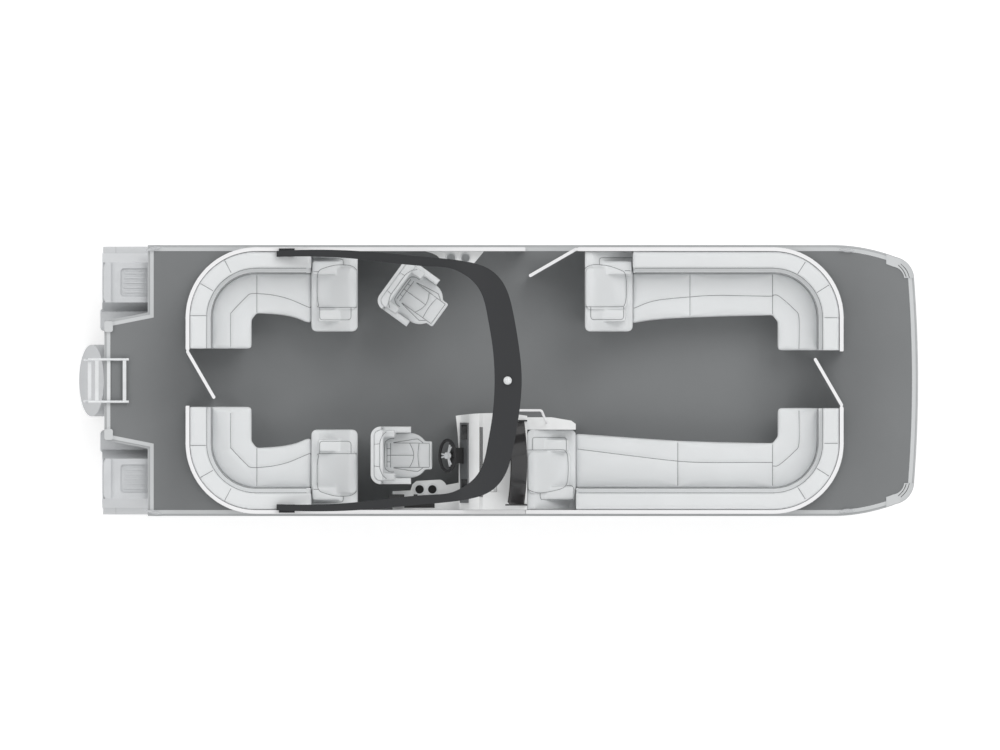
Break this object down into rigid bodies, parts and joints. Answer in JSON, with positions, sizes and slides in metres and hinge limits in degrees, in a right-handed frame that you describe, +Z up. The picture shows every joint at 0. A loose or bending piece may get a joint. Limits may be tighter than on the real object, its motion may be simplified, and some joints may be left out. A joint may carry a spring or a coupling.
{
  "type": "pontoon boat",
  "caption": "Triple-tube pontoon boat with fenced deck, curved lounges, swivel chairs, helm console, swept arch, ajar gates, twin motor pods and a folding stern ladder.",
  "frame": {"origin": "centre of the boat's length and beam, on the ground under the keels", "axes": "+X to the bow, +Y to port, +Z up"},
  "size_m": [8.0198, 2.5912, 2.975],
  "materials": {
    "tube": "satin",
    "pod": "satin",
    "frame": "satin",
    "deck": "matte",
    "trim": "satin",
    "rub": "matte",
    "fence": "satin",
    "panel": "gloss",
    "gate": "satin",
    "cushion": "soft vinyl",
    "base": "moulded",
    "console": "gloss",
    "dash": "matte",
    "screen": "gloss",
    "tint": "gloss",
    "black": "satin",
    "wheel": "satin",
    "arch": "satin",
    "light": "gloss",
    "steel": "brushed",
    "ladder": "satin"
  },
  "bodies": {
    "hull": {"arch": "arch", "arch_light": "light", "back_aft_port": "cushion", "back_aft_starboard": "cushion", "back_fore_port": "cushion", "back_fore_starboard": "cushion", "chair_pedestals": "steel", "chaise_aft_port": "cushion", "chaise_aft_starboard": "cushion", "chaise_fore_port": "cushion", "chaise_fore_starboard": "cushion", "cleats": "steel", "console": "console", "corner_caps": "trim", "cross_members": "frame", "cup_holders": "black", "dash_panel": "dash", "deck_edge_rail": "trim", "deck_panel": "deck", "fence_aft_port": "fence", "fence_aft_starboard": "fence", "fence_fore_port": "fence", "fence_fore_starboard": "fence", "fence_panels": "panel", "grab_rail": "fence", "helm_panel": "base", "ladder_frame": "ladder", "lounge_bases": "base", "motor_pod_port": "pod", "motor_pod_starboard": "pod", "rub_rail": "rub", "screens": "screen", "seat_aft_port": "cushion", "seat_aft_starboard": "cushion", "seat_fore_port": "cushion", "seat_fore_starboard": "cushion", "side_console": "console", "side_table": "console", "steering_column": "black", "throttle": "black", "tube_centre": "tube", "tube_port": "tube", "tube_risers": "frame", "tube_starboard": "tube", "windshield": "tint", "windshield_frame": "frame"},
    "gate_aft_leaf": {"gate_aft": "gate"},
    "gate_bow_leaf": {"gate_bow": "gate"},
    "gate_side_leaf": {"gate_side": "gate"},
    "wheel": {"steering_wheel": "wheel"},
    "helm_chair": {"helm_chair_shell": "base", "helm_chair_cushions": "cushion"},
    "port_chair": {"port_chair_shell": "base", "port_chair_cushions": "cushion"},
    "ladder_leaf": {"ladder_fold": "ladder"}
  },
  "joints": [
    {"name": "gate_aft_hinge", "type": "hinge", "parent": "hull", "child": "gate_aft_leaf", "pos_m": [-2.973, 0.274, 0.93], "axis": [0, 0, 1], "range_deg": [-25, 60]},
    {"name": "gate_bow_hinge", "type": "hinge", "parent": "hull", "child": "gate_bow_leaf", "pos_m": [3.278, -0.232, 0.93], "axis": [0, 0, 1], "range_deg": [-25, 60]},
    {"name": "gate_side_hinge", "type": "hinge", "parent": "hull", "child": "gate_side_leaf", "pos_m": [0.737, 1.2545, 0.93], "axis": [0, 0, 1], "range_deg": [-25, 60]},
    {"name": "steering", "type": "hinge", "parent": "hull", "child": "wheel", "pos_m": [-0.488, -0.718, 1.69], "axis": [-0.866, 0, 0.5], "range_deg": [-720, 720]},
    {"name": "helm_chair_swivel", "type": "hinge", "parent": "hull", "child": "helm_chair", "pos_m": [-0.947, -0.715, 1.329], "axis": [0, 0, 1], "continuous": true},
    {"name": "port_chair_swivel", "type": "hinge", "parent": "hull", "child": "port_chair", "pos_m": [-0.809, 0.803, 1.329], "axis": [0, 0, 1], "continuous": true},
    {"name": "ladder_fold_hinge", "type": "hinge", "parent": "hull", "child": "ladder_leaf", "pos_m": [-3.955, 0, 0.898], "axis": [0, -1, 0], "range_deg": [0, 250]}
  ]
}
